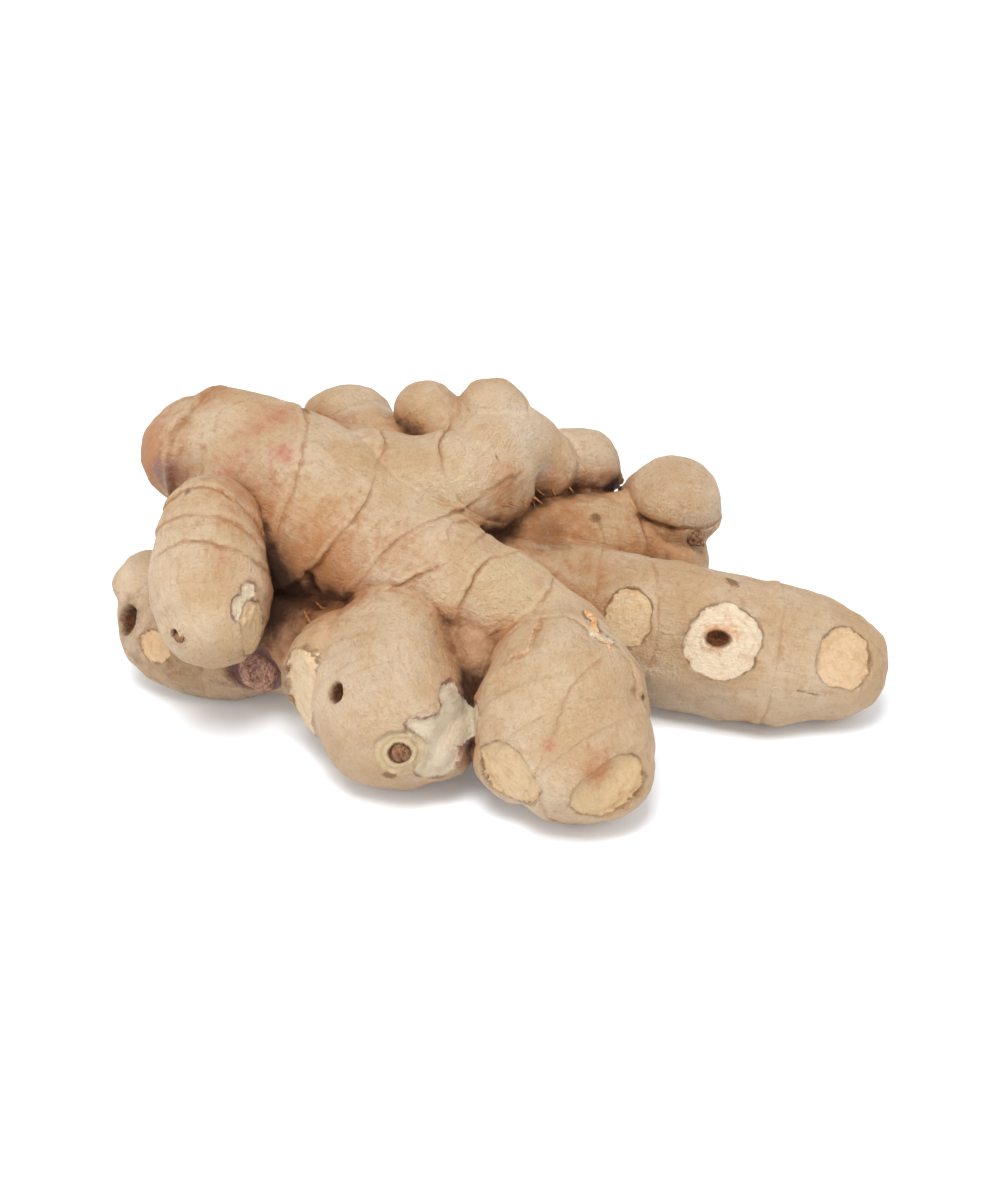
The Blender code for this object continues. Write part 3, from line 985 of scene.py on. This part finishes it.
    def press(self, mark: Mark, surface: Surface, edges: np.ndarray, tones: np.ndarray) -> None:
        """Cuts one mark's face, or sinks its pit, and raises the rim round it.

        Args:
            mark: The mark.
            surface: The skin, whose points it moves.
            edges: Distance of every point from the edges of this kind of mark, which it brings up to date.
            tones: Tone of the mark that each point is in, likewise.
        """
        index = surface.nearest(mark.at)
        size = 0.5 * (mark.wide + mark.tall)
        normal = surface.facing(index, size * 0.8)
        level = unit(np.cross((0, 0, 1), normal))
        upright = np.cross(normal, level)
        turn = math.radians(mark.turn)
        level, upright = (level * math.cos(turn) + upright * math.sin(turn),
                          upright * math.cos(turn) - level * math.sin(turn))
        offset = surface.points - surface.points[index]
        close = (np.linalg.norm(offset, axis=1) < size * 2.4 + 3) & (surface.normals @ normal > 0.1)
        local = offset[close]
        waver, shiver = surface.share["waver"][close], surface.share["shiver"][close]
        reach = np.hypot(local @ level / mark.wide, local @ upright / mark.tall)
        reach *= 1 + 0.14 * waver + 0.10 * shiver
        height = local @ normal
        held = smooth_step(np.abs(height), self.held_far, self.held_near)
        rim = (reach > 0.85) & (reach < 1.15) & (held > 0.9)
        rim_height = float(height[rim].mean()) if rim.any() else 0.0
        edge = np.where(held > 0, (reach - 1.0) * size, self.far_edge)
        chosen = np.flatnonzero(close)
        nearer = (edge < edges[chosen]) | (edge < self.overlap)
        edges[chosen[nearer]] = edge[nearer]
        tones[chosen[nearer]] = mark.tone
        rough = 0.22 * shiver + 0.30 * waver
        target = self.face_height(mark, edge, size) + rim_height + rough
        shift = (target - height) * smooth_step(edge, self.edge_blur, -self.edge_blur) * held
        shift += mark.lip * bell(edge - self.rim_at, self.rim_width) * (0.6 + 0.6 * waver)
        surface.points[close] += normal * shift[:, None]

    def face_height(self, mark: Mark, edge: np.ndarray, size: float) -> np.ndarray:
        """The shape of a mark's face.

        Args:
            mark: The mark.
            edge: Distance from its rim, negative inside, in millimetres.
            size: Its mean radius.

        Returns:
            Height over its rim.
        """
        inward = np.clip(-edge / size, 0.0, 1.0)
        if mark.kind is MarkKind.PIT:
            return -mark.sink - 1.8 * inward
        if mark.kind is MarkKind.EYE:
            hoops = 0.55 * np.sin(edge * 3.1) * (inward < 0.62) * 0.3
            return hoops - mark.sink + 1.3 * inward - 0.9 * (inward > 0.62)
        if mark.kind is MarkKind.CORK:
            return 0.25 + 0.5 * inward
        return -mark.sink + 0.30 * inward + 0.10 * np.sin(edge * 2.6)

    def split_and_peel(self, surface: Surface) -> np.ndarray:
        """Opens the cracks and takes the skin's thickness off where it has peeled."""
        crack_field = np.full(len(surface.points), 4.0)
        rise = np.zeros(len(surface.points))
        for crack in CRACKS:
            distance = crack.distance(surface.points) + 0.25 * surface.share["shiver"]
            rise -= crack.deep * bell(np.maximum(distance, 0.0), crack.wide)
            crack_field = np.minimum(crack_field, distance / crack.wide)
        surface.share["crack"] = crack_field
        peel_field = np.full(len(surface.points), 4.0)
        ragged = 0.9 * surface.share["waver"] + 0.7 * surface.share["shiver"]
        for peel in PEELS:
            edge = peel.edge(surface.points) + ragged
            rise -= peel.step * smooth_step(edge, 0.5, -0.3)
            rise += 0.25 * bell(edge - 0.7, 0.5)
            peel_field = np.minimum(peel_field, edge)
        surface.share["peel_edge"] = peel_field
        return rise

    def stain(self, surface: Surface) -> None:
        """Keeps how strongly each tint shows at each point."""
        for tint in Tint:
            strength = np.zeros(len(surface.points))
            for patch in (s for s in STAINS if s.tint is tint):
                distance = np.linalg.norm(surface.points - np.array(patch.at), axis=1)
                strength = np.maximum(strength, patch.strength * bell(distance, patch.size))
            surface.share[tint.value] = strength

    def find_shelter(self, mesh: bpy.types.Mesh, surface: Surface) -> None:
        """Keeps how closed in each point is: 0 in the open, up to 1 deep between fingers, where the finish
        darkens the skin as soil and as painted shade.
        """
        tree = face_tree(mesh)
        golden = math.pi * (3 - math.sqrt(5))
        rays = []
        for i in range(self.shelter_rays):
            up = 1 - (i + 0.5) / self.shelter_rays
            rays.append(Vector((math.cos(golden * i), math.sin(golden * i), 0)) * math.sqrt(1 - up * up)
                        + Vector((0, 0, up)))
        chosen = np.arange(0, len(surface.points), self.shelter_stride)
        near = kdtree.KDTree(len(chosen))
        closed = np.zeros(len(chosen))
        for i, index in enumerate(chosen):
            normal = Vector(surface.normals[index])
            place = Vector(surface.points[index]) * MM
            near.insert(place, i)
            turn = normal.to_track_quat("Z", "Y")
            start = place + normal * 0.4 * MM
            hits = 0.0
            for ray in rays:
                distance = tree.ray_cast(start, turn @ ray, self.shelter_reach * MM)[3]
                hits += 0.0 if distance is None else 1.0 - 0.5 * distance / (self.shelter_reach * MM)
            closed[i] = hits / self.shelter_rays
        near.balance()
        picked = np.array([near.find(v.co)[1] for v in mesh.vertices])
        surface.share["shelter"] = surface.average(closed[picked], 12)

    def sculpt(self, mesh: bpy.types.Mesh) -> Surface:
        """Shapes the skin's relief, point by point."""
        surface = self.read_surface(mesh)
        self.share_out(surface)
        surface.points += surface.normals * self.swell(surface)[:, None]
        self.write_points(mesh, surface)
        surface.points += surface.normals * self.ring_relief(surface)[:, None]
        self.write_points(mesh, surface)
        self.press_marks(surface)
        self.write_points(mesh, surface)
        rise = self.wrinkle(surface) * smooth_step(surface.share["cut_edge"], -0.2, 0.6)
        rise += self.split_and_peel(surface)
        surface.points += surface.normals * rise[:, None]
        self.write_points(mesh, surface)
        self.stain(surface)
        surface.share["hollow"] = surface.average(surface.hollow(34), 3)
        surface.share["hollow_fine"] = surface.hollow(3)
        self.find_shelter(mesh, surface)
        return surface

    def thin_out(self, mesh: bpy.types.Mesh) -> bpy.types.Mesh:
        """Takes triangles away where the skin is flattest, down to the limit."""
        shaped = linked("shaped", mesh)
        mesh.calc_loop_triangles()
        thin = shaped.modifiers.new("thin", "DECIMATE")
        thin.ratio = min(1.0, self.limit / len(mesh.loop_triangles))
        finished = applied(shaped)
        bpy.data.objects.remove(shaped)
        return finished

    def carry_fields(self, surface: Surface, mesh: bpy.types.Mesh) -> None:
        """Stores the finish's fields on a mesh, where each point takes those of the surface's nearest one."""
        tree = kdtree.KDTree(len(surface.points))
        for i, point in enumerate(surface.points.tolist()):
            tree.insert(point, i)
        tree.balance()
        index = np.array([tree.find(p)[1] for p in (coordinates(mesh) / MM).tolist()])
        numbers = ["ring_gap", "ring_ink", "grain_keep", "crack", "peel_edge", "hollow", "hollow_fine",
                   "shelter", "cut_tone", "eye_tone", *(f"{kind.value}_edge" for kind in MarkKind),
                   *(tint.value for tint in Tint)]
        for name in numbers:
            layer = mesh.attributes.new(name, "FLOAT", "POINT")
            layer.data.foreach_set("value", surface.share[name][index])
        layer = mesh.attributes.new("grain", "FLOAT_VECTOR", "POINT")
        layer.data.foreach_set("vector", surface.grain[index].ravel())

    def rest_flat(self, mesh: bpy.types.Mesh) -> None:
        """Flattens what would lie below the floor, so that the feet rest on small flats."""
        places = coordinates(mesh)
        places[:, 2] = np.maximum(places[:, 2], 0.0)
        mesh.vertices.foreach_set("co", places.ravel())
        mesh.update()

    def build(self) -> bpy.types.Object:
        """Makes the skin and dresses it."""
        mesh = self.grown_mesh()
        surface = self.sculpt(mesh)
        finished = self.thin_out(mesh)
        self.carry_fields(surface, finished)
        self.rest_flat(finished)
        finished.shade_smooth()
        skin = bpy.data.objects.new("rhizome_skin", finished)
        skin.data.materials.append(self.finish.build())
        return skin


# ---------------------------------------------------------------------------------- the small pieces on it


@dataclass
class Ground:
    """The finished skin, as the small pieces that sit on it see it."""

    skin: bpy.types.Object
    tree: BVHTree = field(init=False)

    def __post_init__(self) -> None:
        """Prepares the skin for being measured from."""
        self.tree = face_tree(self.skin.data)

    def stand(self, at: Triple) -> tuple[Vector, Vector]:
        """The nearest place on the skin to one in millimetres, and the way out of the skin there."""
        place, normal, _, _ = self.tree.find_nearest(Vector(at) * MM)
        steady = Vector((0, 0, 0))
        for turn in range(8):
            angle = turn * math.pi / 4
            side = normal.orthogonal().normalized()
            nudge = (side * math.cos(angle) + normal.cross(side) * math.sin(angle)) * 1.2 * MM
            steady += self.tree.find_nearest(place + nudge)[1]
        return place, steady.normalized()


@dataclass(frozen=True)
class BarkFinish:
    """Dried brown plant matter: root stubs, bud scales and loose skin, streaked along its own length."""

    name: str
    light: Colour
    dark: Colour
    streaks: float = 1.6
    depth: float = 0.25

    def build(self) -> bpy.types.Material:
        """Builds the material."""
        b = Bench(self.name)
        streak = b.noise(b.vector("MULTIPLY", b.mm, (1.0, 1.0, 0.45)), self.streaks, 5, 0.7, 0.6)
        grit = b.noise(b.mm, 2.6, 3, 0.65)
        colour = b.mix(b.ease(streak, 0.35, 0.66), self.light, self.dark)
        colour = b.mix(b.ease(grit, 0.52, 0.75) * 0.5, colour, self.dark)
        normal = b.bump(streak * 0.7 + grit * 0.4, self.depth * MM)
        return b.finish(colour, b.ease(grit, 0.2, 0.8, 0.60, 0.82), normal, Specular_IOR_Level=0.3)


@dataclass(frozen=True)
class Stub:
    """One dried root stub: its place, which way it leans, and its length and width at the foot, in mm."""

    at: Triple
    lean: Triple
    long: float
    wide: float


@dataclass
class RootStubs:
    """A group of root stubs: short tapered, bent threads that stand on the skin."""

    name: str
    stubs: tuple[Stub, ...]
    finish: BarkFinish
    seed: int = 1
    sides: int = 7
    steps: int = 7

    def add_stub(self, bm: bmesh.types.BMesh, stub: Stub, ground: Ground, chance: random.Random) -> None:
        """Pushes a circle out of the skin along a wandering line, and pinches its end shut."""
        place, out = ground.stand(stub.at)
        way = (out + Vector(stub.lean) * 0.8).normalized()
        place = place - out * 0.6 * MM
        turn = way.to_track_quat("Z", "Y")
        matrix = Matrix.LocRotScale(place, turn, Vector((1, 1, 1)) * stub.wide * 0.5 * MM)
        foot = bmesh.ops.create_circle(bm, segments=self.sides, radius=1, cap_ends=True, matrix=matrix)
        rim = [e for e in bm.edges if e.verts[0] in foot["verts"] and e.verts[1] in foot["verts"]]
        for step in range(1, self.steps + 1):
            share = step / self.steps
            way = (way + Vector([chance.uniform(-0.35, 0.35) for _ in range(3)])).normalized()
            place = place + way * (stub.long + 0.6) / self.steps * MM
            width = stub.wide * 0.5 * (1 - 0.72 * share) * chance.uniform(0.8, 1.15) * MM
            turn = (turn @ Vector((0, 0, 1))).rotation_difference(way) @ turn
            after = Matrix.LocRotScale(place, turn, Vector((width, width * chance.uniform(0.7, 1.0), width)))
            rim, verts = pushed(bm, rim)
            bmesh.ops.transform(bm, matrix=after @ matrix.inverted(), verts=verts)
            matrix = after
        bmesh.ops.holes_fill(bm, edges=rim, sides=0)

    def build(self, ground: Ground) -> bpy.types.Object:
        """Makes the whole group as one piece."""
        chance = random.Random(self.seed)
        bm = bmesh.new()
        for stub in self.stubs:
            self.add_stub(bm, stub, ground, chance)
        return dressed(self.name, bm, self.finish.build())


@dataclass
class Bud:
    """A dormant bud: rings of scales that close over each other round a low tip.

    Attributes:
        name: The piece's name.
        at: Where it stands, in millimetres.
        wide: Its radius at the foot.
        high: Height of its tip.
        scales: How many rings of scales it has.
        finish: Its material.
    """

    name: str
    at: Triple
    wide: float
    high: float
    scales: int
    finish: BarkFinish
    lean: Triple = (0, 0, 0)
    sides: int = 48
    seed: float = 0.0

    def build(self, ground: Ground) -> bpy.types.Object:
        """Makes the bud by stepping a circle inwards and upwards, with a lip at each scale."""
        place, out = ground.stand(self.at)
        out = (out + Vector(self.lean)).normalized()
        turn = out.to_track_quat("Z", "Y").to_matrix().to_4x4()
        bm = bmesh.new()
        profile = [(1.0, -0.9)]
        for scale in range(self.scales):
            reach = 1 / self.scales
            start, low, high = 1 - scale * reach, 0.9 * scale * reach, 0.9 * (scale + 1) * reach
            profile += [(start - reach * 0.02, low + 0.02), (start - reach * 0.20, low + 0.14 * reach + 0.05),
                        (start - reach * 0.60, high), (start - reach * 0.90, high - 0.03)]
        circle = bmesh.ops.create_circle(bm, segments=self.sides, radius=1, cap_ends=True)
        rim = list({e for v in circle["verts"] for e in v.link_edges})
        level = 1.0, 0.0
        for radius, height in profile:
            rim, verts = pushed(bm, rim)
            share = max(radius, 0.03) / level[0]
            bmesh.ops.scale(bm, vec=(share, share, 1), verts=verts)
            bmesh.ops.translate(bm, vec=(0, 0, height - level[1]), verts=verts)
            level = max(radius, 0.03), height
        bmesh.ops.holes_fill(bm, edges=rim, sides=0)
        for vert in bm.verts:
            x, y, z = vert.co
            angle = math.atan2(y, x)
            wave = noise.noise(Vector((math.cos(angle) * 1.4, math.sin(angle) * 1.4, z * 2.5 + self.seed)))
            fold = noise.noise(Vector((math.cos(angle) * 5, math.sin(angle) * 5, z * 1.5 + self.seed + 9)))
            vert.co.xy *= 1 + 0.22 * wave + 0.07 * fold
            vert.co.z += 0.10 * wave + 0.05 * fold
        bmesh.ops.scale(bm, vec=(self.wide * MM, self.wide * MM, self.high * MM), verts=bm.verts)
        bmesh.ops.transform(bm, matrix=Matrix.Translation(place) @ turn, verts=bm.verts)
        return dressed(self.name, bm, self.finish.build())


@dataclass(frozen=True)
class Flake:
    """One loose flake of skin: its middle, the way its torn edge runs, its length, width and lift, in mm."""

    at: Triple
    along: Triple
    long: float
    wide: float
    lift: float = 0.9


@dataclass
class SkinFlakes:
    """A group of papery flakes: ragged sheets that lie on the skin and curl up at their torn edge."""

    name: str
    flakes: tuple[Flake, ...]
    finish: BarkFinish
    seed: float = 0.0
    thickness: float = 0.16
    cells: int = 14

    def add_flake(self, bm: bmesh.types.BMesh, flake: Flake, number: int, ground: Ground) -> None:
        """Lays a small grid on the skin, frays its outline and curls one side up."""
        place, out = ground.stand(flake.at)
        along = Vector(flake.along)
        along = (along - out * along.dot(out)).normalized()
        across = out.cross(along)
        verts = bmesh.ops.create_grid(bm, x_segments=self.cells, y_segments=self.cells // 2, size=1)["verts"]
        for vert in verts:
            u, v = vert.co.x, vert.co.y
            fray = noise.noise(Vector((u * 2.2, number * 7.3, self.seed)))
            tooth = noise.noise(Vector((u * 6.5, number * 3.1, self.seed + 5)))
            taper = math.sqrt(max(0.0, 1 - u * u * 0.90))
            v = v * taper * (1 + (0.45 * fray + 0.35 * tooth) * (v > 0))
            spot = place + along * u * flake.long * 0.5 * MM + across * v * flake.wide * 0.5 * MM
            ground_spot, normal, _, _ = ground.tree.find_nearest(spot)
            raised = max(0.0, v * 0.5 + 0.5) ** 2 * flake.lift * (0.6 + 0.6 * fray) - 0.10
            vert.co = ground_spot + normal * raised * MM

    def build(self, ground: Ground) -> bpy.types.Object:
        """Makes the whole group as one piece."""
        bm = bmesh.new()
        for number, flake in enumerate(self.flakes):
            self.add_flake(bm, flake, number, ground)
        bmesh.ops.recalc_face_normals(bm, faces=bm.faces)
        bm.normal_update()
        outward = [(vert, vert.normal.copy()) for vert in bm.verts]
        bmesh.ops.extrude_face_region(bm, geom=bm.faces, use_keep_orig=True)
        for vert, normal in outward:
            vert.co -= normal * self.thickness * MM
        return dressed(self.name, bm, self.finish.build())


def dressed(name: str, bm: bmesh.types.BMesh, material: bpy.types.Material) -> bpy.types.Object:
    """Turns a finished bmesh into a piece with one material, its faces outward and smooth."""
    bmesh.ops.recalc_face_normals(bm, faces=bm.faces)
    mesh = mesh_of(name, bm)
    mesh.shade_smooth()
    mesh.materials.append(material)
    return bpy.data.objects.new(name, mesh)


ROOT_BARK = BarkFinish("root_bark", srgb(176, 118, 66), srgb(104, 60, 30))
BUD_BARK = BarkFinish("bud_bark", srgb(186, 144, 118), srgb(112, 70, 64), 1.2, 0.35)
EYE_BARK = BarkFinish("eye_bark", srgb(150, 110, 74), srgb(84, 48, 30), 1.6, 0.3)
TIP_BARK = BarkFinish("tip_bark", srgb(160, 118, 84), srgb(74, 48, 38), 1.8, 0.3)
PARCHMENT = BarkFinish("loose_parchment", srgb(204, 166, 124), srgb(160, 112, 70), 1.0, 0.2)


def small_pieces() -> list[RootStubs | Bud | SkinFlakes]:
    """Every small piece that stands on the skin, in order."""
    return [
        Bud("foot_bud", (-57, -8, 14), 5.2, 4.0, 3, BUD_BARK, seed=3.0),
        Bud("foot_bud_tip", (-57, -9, 15), 1.7, 3.0, 2, EYE_BARK, seed=5.0),
        Bud("front_lobe_eye", (-21.5, -49.5, 18), 2.5, 1.5, 2, EYE_BARK, seed=8.0),
        Bud("draped_finger_nub", (-74, -24, 34), 1.5, 1.0, 2, EYE_BARK, seed=11.0),
        Bud("side_knob_tip", (49, 28, 31), 2.2, 3.4, 3, TIP_BARK, (0.5, 0, -0.3), seed=13.0),
        Bud("back_knob_bud", (29, 46, 38), 2.4, 1.6, 2, PARCHMENT, seed=17.0),
        RootStubs("heel_roots", (
            Stub((-41, -9, 34), (-0.9, -0.4, 0.1), 3.0, 1.1),
            Stub((-43, -14, 31), (-0.9, -0.3, 0.1), 3.4, 1.1),
        ), ROOT_BARK, 3),
        RootStubs("crown_roots", (
            Stub((8, 22, 46), (0.1, -0.7, -0.6), 3.6, 0.9), Stub((5, 19, 47), (0, -0.6, -0.7), 3.0, 0.8),
            Stub((2, 16, 48), (0.1, -0.5, -0.8), 2.8, 0.8), Stub((11, 25, 45), (0.2, -0.6, -0.6), 3.2, 0.8),
            Stub((14, 28, 44), (0.4, -0.6, -0.5), 2.6, 0.8), Stub((0, 14, 48), (0, -0.4, -0.8), 3.4, 0.7),
            Stub((9, 24, 44), (0.3, -0.5, -0.7), 2.4, 0.6), Stub((17, 32, 44), (0.5, -0.5, -0.4), 2.2, 0.7),
        ), ROOT_BARK, 5),
        RootStubs("rear_roots", (
            Stub((-30, 45, 24), (0, 0.5, -0.6), 4.0, 0.9), Stub((-24, 40, 20), (0.2, 0.5, -0.5), 3.0, 0.8),
            Stub((-6, 44, 18), (0.3, 0.6, -0.4), 4.5, 0.9), Stub((-45, 26, 24), (-0.2, 0.6, -0.5), 3.6, 0.8),
            Stub((20, 36, 14), (0.2, 0.6, -0.4), 3.4, 0.8), Stub((44, 16, 10), (0.3, 0.7, -0.3), 3.0, 0.7),
        ), ROOT_BARK, 7),
        SkinFlakes("torn_skin", (
            Flake((23, -30, 41), (0.5, -0.9, -0.1), 11, 2.6, 1.1),
            Flake((24, -37, 39), (0.3, -0.9, -0.4), 7, 2.2, 1.0),
        ), PARCHMENT, 2.0),
    ]


# ---------------------------------------------------------------------------------------------- the studio


@dataclass
class Studio:
    """The floor, the lights and the camera."""

    floor_size: float = 6.0
    target: Triple = (0.001, -0.0012, 0.0300)
    elevation: float = math.radians(30)
    distance: float = 0.700
    lens: float = 88.2
    sensor: float = 36.0
    surround: float = 0.72

    def lay_floor(self) -> None:
        """A plain pale floor."""
        bm = bmesh.new()
        bmesh.ops.create_grid(bm, x_segments=8, y_segments=8, size=self.floor_size / 2)
        floor = linked("floor", mesh_of("floor", bm))
        floor.data.materials.append(FloorFinish().build())

    def hang_light(self, name: str, place: Triple, size: float, watts: float) -> None:
        """One soft square light, aimed at the rhizome."""
        light = bpy.data.lights.new(name, "AREA")
        light.shape = "SQUARE"
        light.size = size
        light.energy = watts
        obj = linked(name, light)
        obj.location = place
        obj.rotation_euler = (Vector(self.target) - Vector(place)).to_track_quat("-Z", "Y").to_euler()

    def light(self) -> None:
        """A broad key light overhead, two weak fills and a white surround."""
        self.hang_light("key_light", (-0.12, -0.42, 1.1), 0.55, 13.0)
        self.hang_light("left_fill", (-1.0, -0.6, 0.5), 0.8, 3.0)
        self.hang_light("right_fill", (1.0, -0.5, 0.6), 0.8, 2.5)
        world = bpy.data.worlds.new("surround")
        bpy.context.scene.world = world
        world.use_nodes = True
        background = world.node_tree.nodes["Background"].inputs
        background["Color"].default_value = (1, 1, 1, 1)
        background["Strength"].default_value = self.surround
        bpy.context.scene.view_settings.view_transform = "Standard"

    def place_camera(self) -> None:
        """The camera in front of the rhizome, looking down on it."""
        ahead = Vector((0, math.cos(self.elevation), -math.sin(self.elevation)))
        data = bpy.data.cameras.new("camera")
        data.lens = self.lens
        data.sensor_width = self.sensor
        data.sensor_fit = "AUTO"
        data.clip_start = 0.01
        camera = linked("camera", data)
        camera.location = Vector(self.target) - ahead * self.distance
        camera.rotation_euler = ahead.to_track_quat("-Z", "Y").to_euler()
        bpy.context.scene.camera = camera

    def build(self) -> None:
        """Sets the whole studio up."""
        self.place_camera()
        self.lay_floor()
        self.light()


def keep(piece: bpy.types.Object, stands_for: str | None = None) -> None:
    """Shows a finished piece and joins it to the rhizome's body.

    Args:
        piece: The finished piece.
        stands_for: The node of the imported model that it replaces, if any.
    """
    if not piece.users_collection:
        bpy.context.scene.collection.objects.link(piece)
    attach(piece, BODY)
    if stands_for:
        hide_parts(stands_for)
    piece.data.calc_loop_triangles()
    LOG.info("%s: %d triangles", piece.name, len(piece.data.loop_triangles))


def main() -> None:
    """Builds the studio, then the rhizome piece by piece."""
    logging.basicConfig(level=logging.INFO, format="%(message)s")
    Studio().build()
    skin = RhizomeSkin().build()
    keep(skin, NODE)
    ground = Ground(skin)
    for maker in small_pieces():
        keep(maker.build(ground))


if __name__ == "__main__":
    main()
